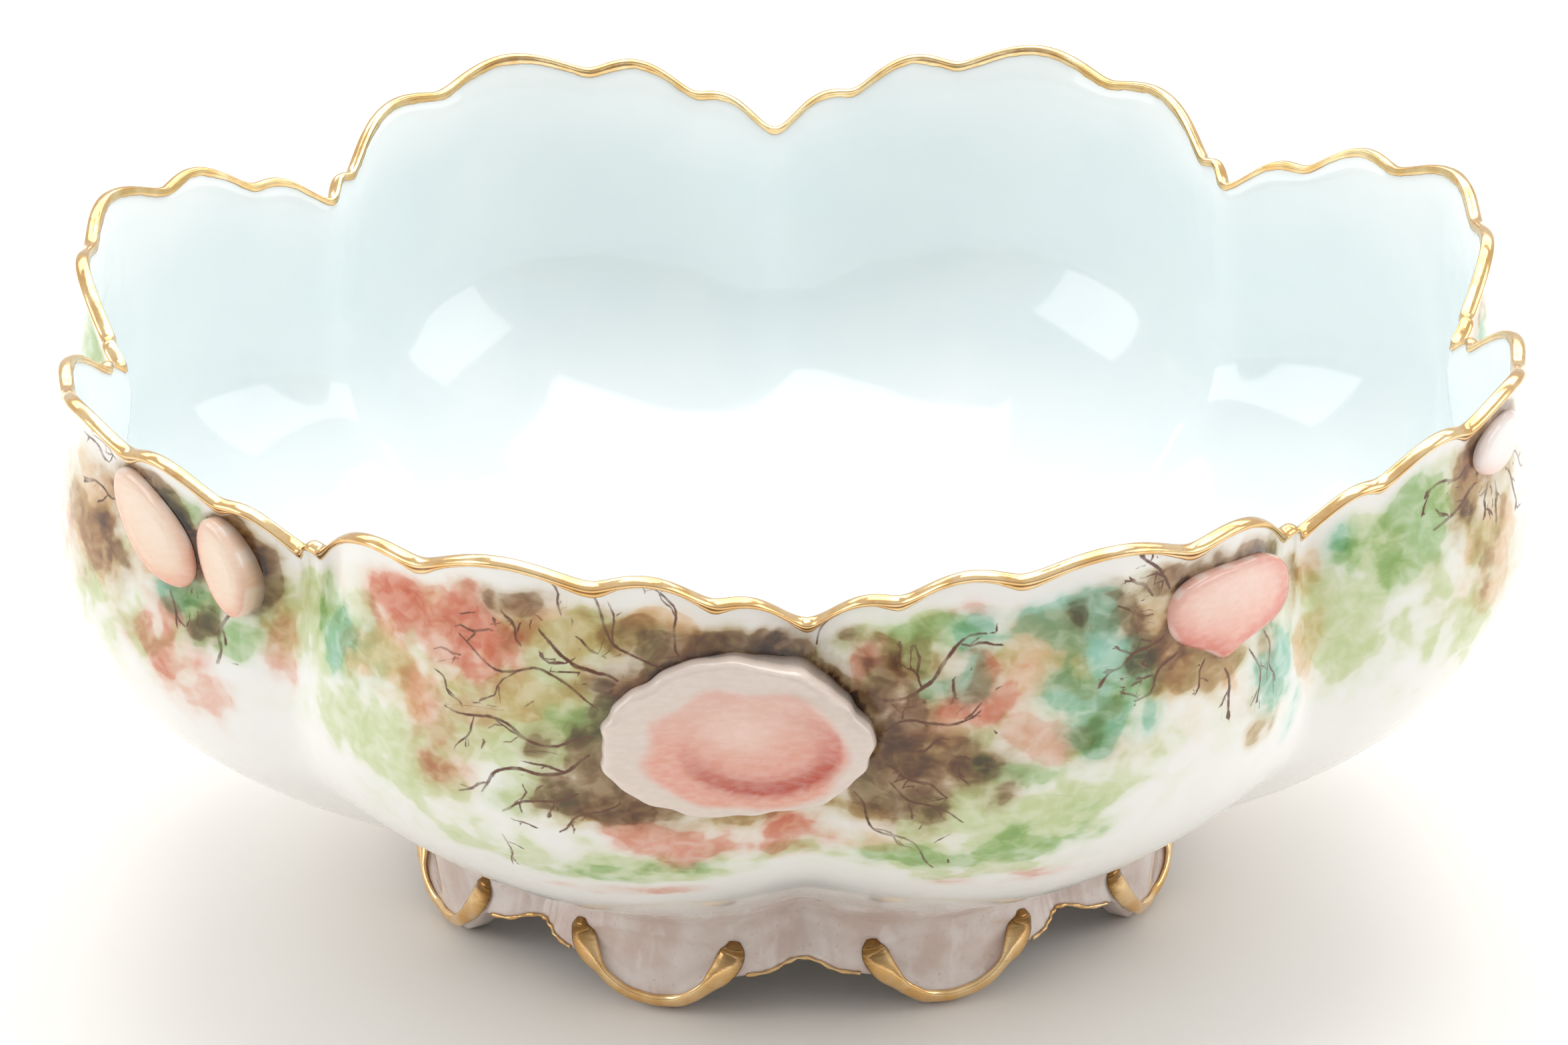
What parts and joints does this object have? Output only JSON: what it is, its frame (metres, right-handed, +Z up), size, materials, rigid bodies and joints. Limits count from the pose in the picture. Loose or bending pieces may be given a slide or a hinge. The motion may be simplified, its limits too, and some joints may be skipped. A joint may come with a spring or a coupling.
{
  "type": "porcelain serving bowl",
  "caption": "Deep round lobed porcelain bowl with a scalloped gilt rim, moulded shells on its outside and a foot ring cut into gilt-edged feet.",
  "frame": {"origin": "on the floor under the middle of the bowl, at the bottom centre of its bounding box", "axes": "+Z up out of the bowl's mouth; -Y the front, where a crease between two lobes and the oyster shell are; +X to the right seen from the front"},
  "size_m": [0.2442, 0.2496, 0.1062],
  "materials": {
    "painted_porcelain": "gloss glaze with hand-painted enamel washes outside and a pale turquoise tint inside",
    "lustre_porcelain": "gloss glaze with a thin lavender-pink lustre",
    "gilding": "burnished gold, brushed on",
    "shell_enamel": "gloss glaze over salmon and cream enamel"
  },
  "bodies": {
    "root": {"bowl_wall": "painted_porcelain", "foot_ring": "lustre_porcelain", "rim_gilding": "gilding", "foot_gilding_1": "gilding", "foot_gilding_2": "gilding", "foot_gilding_3": "gilding", "foot_gilding_4": "gilding", "foot_gilding_5": "gilding", "foot_gilding_6": "gilding", "foot_gilding_7": "gilding", "foot_gilding_8": "gilding", "arch_gilding_1": "gilding", "arch_gilding_2": "gilding", "arch_gilding_3": "gilding", "arch_gilding_4": "gilding", "arch_gilding_5": "gilding", "arch_gilding_6": "gilding", "arch_gilding_7": "gilding", "arch_gilding_8": "gilding", "oyster_shell_front": "shell_enamel", "oyster_shell_back": "shell_enamel", "mussel_shell_long_front": "shell_enamel", "mussel_shell_long_back": "shell_enamel", "mussel_shell_short_front": "shell_enamel", "mussel_shell_short_back": "shell_enamel", "clam_shell_front": "shell_enamel", "clam_shell_back": "shell_enamel", "cockle_shell_front": "shell_enamel", "cockle_shell_back": "shell_enamel"}
  },
  "joints": []
}
